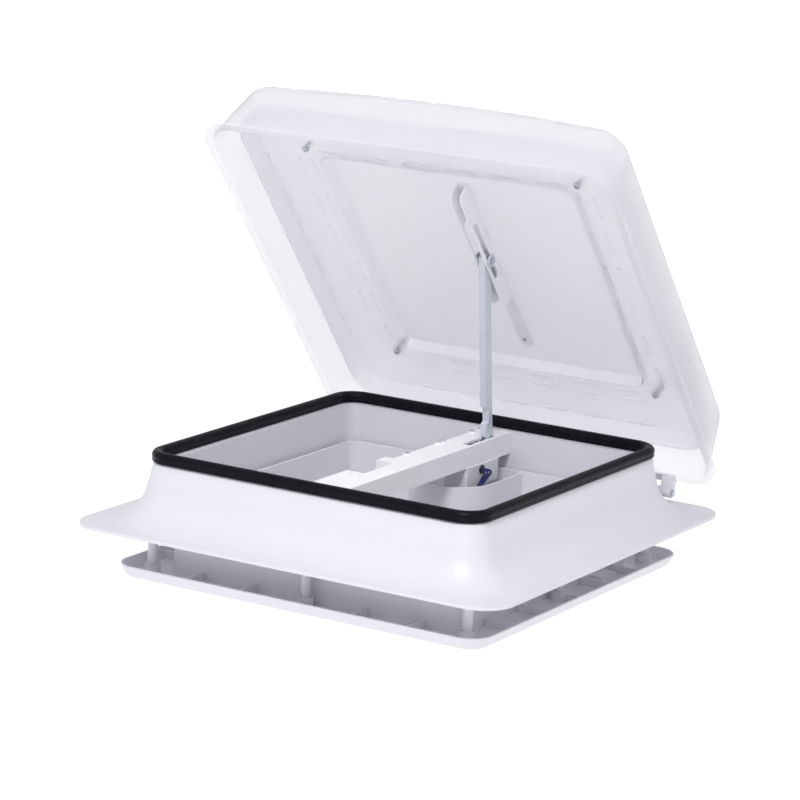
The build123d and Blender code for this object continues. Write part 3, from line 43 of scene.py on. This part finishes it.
# Noise in cells per metre, for the clouding, sink waves and grain of moulded plastic, and the bumps'
# depths in metres
CLOUD_SCALE = 12.0
WAVE_SCALE = 22.0
GRAIN_SCALE = 1400.0
WAVE_DEPTH = 0.0003
GRAIN_DEPTH = 0.0001
NOISE_ROUGHNESS = 0.55
PLASTIC_IOR = 1.5

# Woven fly mesh: pitch of its threads and where a thread's edge lies on its sine wave
MESH_PITCH = 0.0016
THREAD_EDGE = (0.35, 0.6)

# White studio: strength of the world and of the floor's own light, the floor's half width and drop
WORLD_STRENGTH = 0.64
FLOOR_STRENGTH = 0.87
FLOOR_HALF = 60.0
FLOOR_DROP = 0.0002

# The camera solved from the photograph: angles in degrees, places in metres, sensor and lens in
# millimetres
AZIMUTH, ELEVATION, ROLL = 30.651, 12.575, 2.686
DISTANCE, ACROSS, ABOVE = 3.23698, 0.004084, -0.113749
SENSOR, LENS = 36.0, 152.634
FARTHEST_SEEN = 100.0


def new_material(name):
    """An empty material, its shader and its node tree."""
    made = bpy.data.materials.new(name)
    made.use_nodes = True
    tree = made.node_tree
    return made, tree.nodes["Principled BSDF"], tree


def add_node(tree, kind, **values):
    """A node with these socket values set."""
    node = tree.nodes.new(kind)
    for name, value in values.items():
        node.inputs[name.replace("_", " ")].default_value = value
    return node


def noise(tree, scale, detail, stretch=(1.0, 1.0, 1.0)):
    """Noise in object coordinates, stretched along the axes."""
    place = tree.nodes.new("ShaderNodeTexCoord")
    mapping = tree.nodes.new("ShaderNodeMapping")
    mapping.inputs["Scale"].default_value = stretch
    texture = add_node(
        tree, "ShaderNodeTexNoise", Scale=scale, Detail=detail, Roughness=NOISE_ROUGHNESS
    )
    tree.links.new(place.outputs["Object"], mapping.inputs["Vector"])
    tree.links.new(mapping.outputs["Vector"], texture.inputs["Vector"])
    return texture.outputs["Fac"]


def shades(tree, value, low, high, start=0.3, end=0.7):
    """The value between start and end, mapped from the low colour to the high one."""
    node = tree.nodes.new("ShaderNodeValToRGB")
    first, last = node.color_ramp.elements
    first.position, last.position = start, end
    first.color, last.color = (*low, 1.0), (*high, 1.0)
    tree.links.new(value, node.inputs["Fac"])
    return node.outputs["Color"]


def spread(tree, value, low, high, start=0.3, end=0.7):
    """The value between start and end, mapped from low to high."""
    node = add_node(
        tree, "ShaderNodeMapRange", From_Min=start, From_Max=end, To_Min=low, To_Max=high
    )
    tree.links.new(value, node.inputs["Value"])
    return node.outputs["Result"]


def bump(tree, shader, layers):
    """Layers of (height, strength, distance) bumps, joined and sent to the shader."""
    last = None
    for height, strength, distance in layers:
        node = add_node(tree, "ShaderNodeBump", Strength=strength, Distance=distance)
        tree.links.new(height, node.inputs["Height"])
        if last is not None:
            tree.links.new(last, node.inputs["Normal"])
        last = node.outputs["Normal"]
    tree.links.new(last, shader.inputs["Normal"])


def moulded(name, colour, shade, rough, grain=0.06):
    """Moulded plastic: faint clouding, uneven gloss, sink waves and a fine grain."""
    made, shader, tree = new_material(name)
    cloud = noise(tree, CLOUD_SCALE, 3.0)
    fine = noise(tree, GRAIN_SCALE, 2.0)
    waves = noise(tree, WAVE_SCALE, 2.0)
    tree.links.new(shades(tree, cloud, shade, colour, 0.0, 1.0), shader.inputs["Base Color"])
    # A roughness that never falls under 0.28 keeps the denoiser from outlining the waves
    tree.links.new(
        spread(tree, waves, rough - 0.06, rough + 0.06, 0.0, 1.0), shader.inputs["Roughness"]
    )
    shader.inputs["IOR"].default_value = PLASTIC_IOR
    bump(tree, shader, [(waves, 0.03, WAVE_DEPTH), (fine, grain, GRAIN_DEPTH)])
    return made


def milky(name, colour, shade, rough, clear):
    """Translucent moulded plastic with a milky body under a smooth skin."""
    made = moulded(name, colour, shade, rough, grain=0.04)
    shader = made.node_tree.nodes["Principled BSDF"]
    shader.inputs["Transmission Weight"].default_value = clear
    shader.inputs["IOR"].default_value = 1.12
    shader.inputs["Coat Weight"].default_value = 0.25
    shader.inputs["Coat Roughness"].default_value = 0.15
    return made


def metal(name, colour, shade, rough, stretch=(1.0, 1.0, 1.0), metallic=0.85):
    """Plated steel with fine marks drawn out along one axis."""
    made, shader, tree = new_material(name)
    cloud = noise(tree, 60.0, 4.0)
    marks = noise(tree, 500.0, 3.0, stretch)
    tree.links.new(shades(tree, cloud, shade, colour), shader.inputs["Base Color"])
    tree.links.new(spread(tree, marks, rough - 0.08, rough + 0.1), shader.inputs["Roughness"])
    shader.inputs["Metallic"].default_value = metallic
    bump(tree, shader, [(marks, 0.08, GRAIN_DEPTH)])
    return made


def rubber(name, colour, shade):
    """Black extruded rubber with a soft sheen."""
    made, shader, tree = new_material(name)
    cloud = noise(tree, 40.0, 4.0)
    fine = noise(tree, 2200.0, 2.0)
    tree.links.new(shades(tree, cloud, shade, colour), shader.inputs["Base Color"])
    tree.links.new(spread(tree, cloud, 0.29, 0.37), shader.inputs["Roughness"])
    shader.inputs["Specular IOR Level"].default_value = 0.35
    shader.inputs["IOR"].default_value = 1.25
    bump(tree, shader, [(fine, 0.15, GRAIN_DEPTH)])
    return made


def combine(tree, operation, first, second):
    """The two values combined by a Math node."""
    node = tree.nodes.new("ShaderNodeMath")
    node.operation = operation
    tree.links.new(first, node.inputs[0])
    if isinstance(second, float):
        node.inputs[1].default_value = second
    elif second is not None:
        tree.links.new(second, node.inputs[1])
    return node.outputs[0]


def mesh_cloth(name, colour, shade):
    """Woven fly mesh: crossing threads with open squares between them."""
    made, shader, tree = new_material(name)
    place = tree.nodes.new("ShaderNodeTexCoord")
    split = tree.nodes.new("ShaderNodeSeparateXYZ")
    tree.links.new(place.outputs["Object"], split.inputs["Vector"])
    threads = []
    for axis in ("X", "Y"):
        turns = combine(tree, "MULTIPLY", split.outputs[axis], 2 * math.pi / MESH_PITCH)
        wave = combine(tree, "SINE", turns, None)
        threads.append(spread(tree, wave, 0.0, 1.0, *THREAD_EDGE))
    cover = combine(tree, "MAXIMUM", *threads)
    cloud = noise(tree, 30.0, 3.0)
    tree.links.new(shades(tree, cloud, shade, colour), shader.inputs["Base Color"])
    tree.links.new(cover, shader.inputs["Alpha"])
    shader.inputs["Roughness"].default_value = 0.6
    bump(tree, shader, [(cover, 0.4, 0.0002)])
    return made


# The material of each slot, as (maker, lighter colour, darker colour, the maker's further values)
SLOTS = {
    "white_plastic": (moulded, (0.74, 0.742, 0.80), (0.72, 0.722, 0.78), 0.36),
    "trim_plastic": (moulded, (0.79, 0.79, 0.845), (0.77, 0.77, 0.825), 0.38),
    "beam_plastic": (moulded, (0.95, 0.95, 0.98), (0.93, 0.93, 0.96), 0.36),
    "gearbox_plastic": (moulded, (0.80, 0.80, 0.85), (0.76, 0.76, 0.81), 0.42),
    "lid_plastic": (milky, (0.96, 0.957, 0.98), (0.95, 0.947, 0.972), 0.62, 0.82),
    "seal_rubber": (rubber, (0.006, 0.006, 0.010), (0.003, 0.003, 0.006)),
    "black_plastic": (moulded, (0.015, 0.015, 0.018), (0.010, 0.010, 0.012), 0.38),
    "nylon": (moulded, (0.72, 0.70, 0.62), (0.66, 0.64, 0.56), 0.40),
    "lead_blue": (moulded, (0.010, 0.014, 0.11), (0.006, 0.009, 0.08), 0.36),
    "zinc_steel": (metal, (0.62, 0.65, 0.70), (0.52, 0.55, 0.60), 0.38),
    "arm_steel": (metal, (0.70, 0.74, 0.81), (0.64, 0.68, 0.76), 0.40, (1.0, 1.0, 0.1), 0.3),
    "brass": (metal, (0.72, 0.52, 0.22), (0.62, 0.44, 0.18), 0.38),
    "screen": (mesh_cloth, (0.40, 0.41, 0.43), (0.30, 0.31, 0.33)),
}
LOOKS = {slot: maker(slot, *values) for slot, (maker, *values) in SLOTS.items()}

for entry in frame["record"]["subparts"]:
    mesh = NODES[entry["node"]].data
    mesh.materials.clear()
    mesh.materials.append(LOOKS[entry["material_slot"]])


def floor(height, half):
    """Pale floor under the object, with some light of its own so that it stays white."""
    mesh = bpy.data.meshes.new("floor")
    corners = [(x * half, y * half, height) for x, y in ((-1, -1), (1, -1), (1, 1), (-1, 1))]
    mesh.from_pydata(corners, [], [(0, 1, 2, 3)])
    ground = bpy.data.objects.new("floor", mesh)
    bpy.context.scene.collection.objects.link(ground)
    made, shader, tree = new_material("floor_white")
    cloud = noise(tree, 3.0, 2.0)
    tree.links.new(
        shades(tree, cloud, (0.24, 0.24, 0.25), (0.26, 0.26, 0.27)), shader.inputs["Base Color"]
    )
    shader.inputs["Roughness"].default_value = 0.9
    shader.inputs["Emission Color"].default_value = (1.0, 1.0, 1.0, 1.0)
    shader.inputs["Emission Strength"].default_value = FLOOR_STRENGTH
    mesh.materials.append(made)


floor(cad_box[0][2] - FLOOR_DROP, FLOOR_HALF)


def area_light(name, place, target, size, power, spread_angle=180.0):
    """Square soft light aimed at a point, in watts, its beam narrowed to an angle in degrees."""
    data = bpy.data.lights.new(name, "AREA")
    data.size = size
    data.energy = power
    data.spread = math.radians(spread_angle)
    lamp = bpy.data.objects.new(name, data)
    lamp.location = place
    aim = Vector(target) - Vector(place)
    lamp.rotation_euler = aim.to_track_quat("-Z", "Y").to_euler()
    bpy.context.scene.collection.objects.link(lamp)


# The key reaches down into the opening under the open lid
area_light("key", (0.55, -1.4, 1.7), (0.0, 0.0, 0.03), 0.6, 2.7, 60.0)
area_light("fill", (-0.9, -2.0, 1.7), (0.0, 0.0, 0.1), 1.4, 1.0)
area_light("top", (-0.1, -0.5, 2.3), (0.0, 0.0, 0.0), 1.0, 4.0)

world = bpy.data.worlds.new("studio")
world.use_nodes = True
background = world.node_tree.nodes["Background"]
background.inputs["Color"].default_value = (1.0, 1.0, 1.0, 1.0)
background.inputs["Strength"].default_value = WORLD_STRENGTH
bpy.context.scene.world = world
bpy.context.scene.view_settings.view_transform = "Standard"


def photo_camera():
    """Camera at the photograph's viewing angle, rolled and shifted as the photograph is."""
    azimuth, elevation, roll = (math.radians(angle) for angle in (AZIMUTH, ELEVATION, ROLL))
    back = Vector((
        math.sin(azimuth) * math.cos(elevation),
        -math.cos(azimuth) * math.cos(elevation),
        math.sin(elevation),
    ))
    right = Vector((math.cos(azimuth), math.sin(azimuth), 0.0))
    up = back.cross(right)
    camera_right = right * math.cos(roll) + up * math.sin(roll)
    camera_up = up * math.cos(roll) - right * math.sin(roll)
    place = back * DISTANCE - camera_right * ACROSS - camera_up * ABOVE
    data = bpy.data.cameras.new("camera")
    data.sensor_width = SENSOR
    data.lens = LENS
    data.clip_end = FARTHEST_SEEN
    camera = bpy.data.objects.new("camera", data)
    camera.matrix_world = Matrix((
        (camera_right.x, camera_up.x, back.x, place.x),
        (camera_right.y, camera_up.y, back.y, place.y),
        (camera_right.z, camera_up.z, back.z, place.z),
        (0.0, 0.0, 0.0, 1.0),
    ))
    bpy.context.scene.collection.objects.link(camera)
    return camera


bpy.context.scene.camera = photo_camera()
